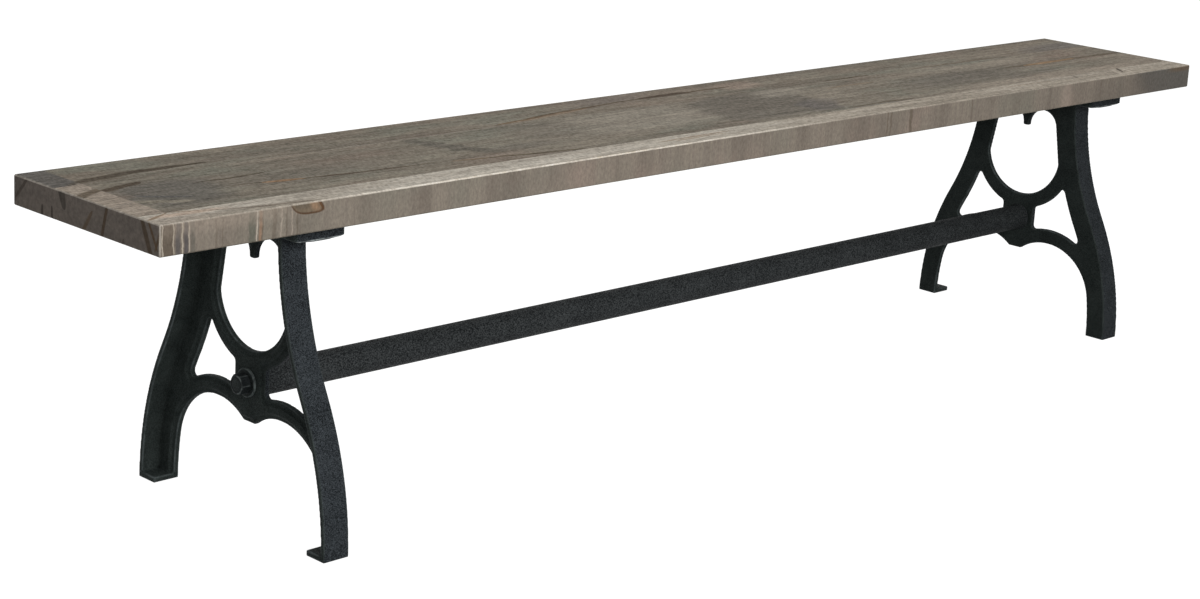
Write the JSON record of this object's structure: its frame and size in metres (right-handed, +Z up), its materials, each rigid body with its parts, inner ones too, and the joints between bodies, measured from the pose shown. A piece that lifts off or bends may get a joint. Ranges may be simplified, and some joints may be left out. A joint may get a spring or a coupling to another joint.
{
  "type": "dining bench",
  "caption": "Long dining bench with a thick plank seat on arched cast-iron trestle legs, tied together by a round pipe stretcher with a nut on each hub.",
  "frame": {"origin": "on the floor under the middle of the seat", "axes": "+X along the seat, -Y the front, +Z up"},
  "size_m": [2.1336, 0.391, 0.4429],
  "materials": {
    "wood": "grey-brown stain under a satin coat",
    "casting": "near-black powder coat, lightly textured",
    "pipe": "near-black powder coat, smooth",
    "dark_hardware": "near-black paint",
    "plain_steel": "zinc plate"
  },
  "bodies": {
    "root": {"seat_board_front": "wood", "seat_board_middle": "wood", "seat_board_rear": "wood", "leg_casting_left": "casting", "leg_casting_right": "casting", "stretcher_pipe": "pipe", "tie_rod": "dark_hardware", "hub_nut_left": "dark_hardware", "hub_washer_left": "dark_hardware", "hub_nut_right": "dark_hardware", "hub_washer_right": "dark_hardware", "lag_screws_left": "plain_steel", "seat_washers_left": "plain_steel", "lag_screws_right": "plain_steel", "seat_washers_right": "plain_steel"}
  },
  "joints": []
}
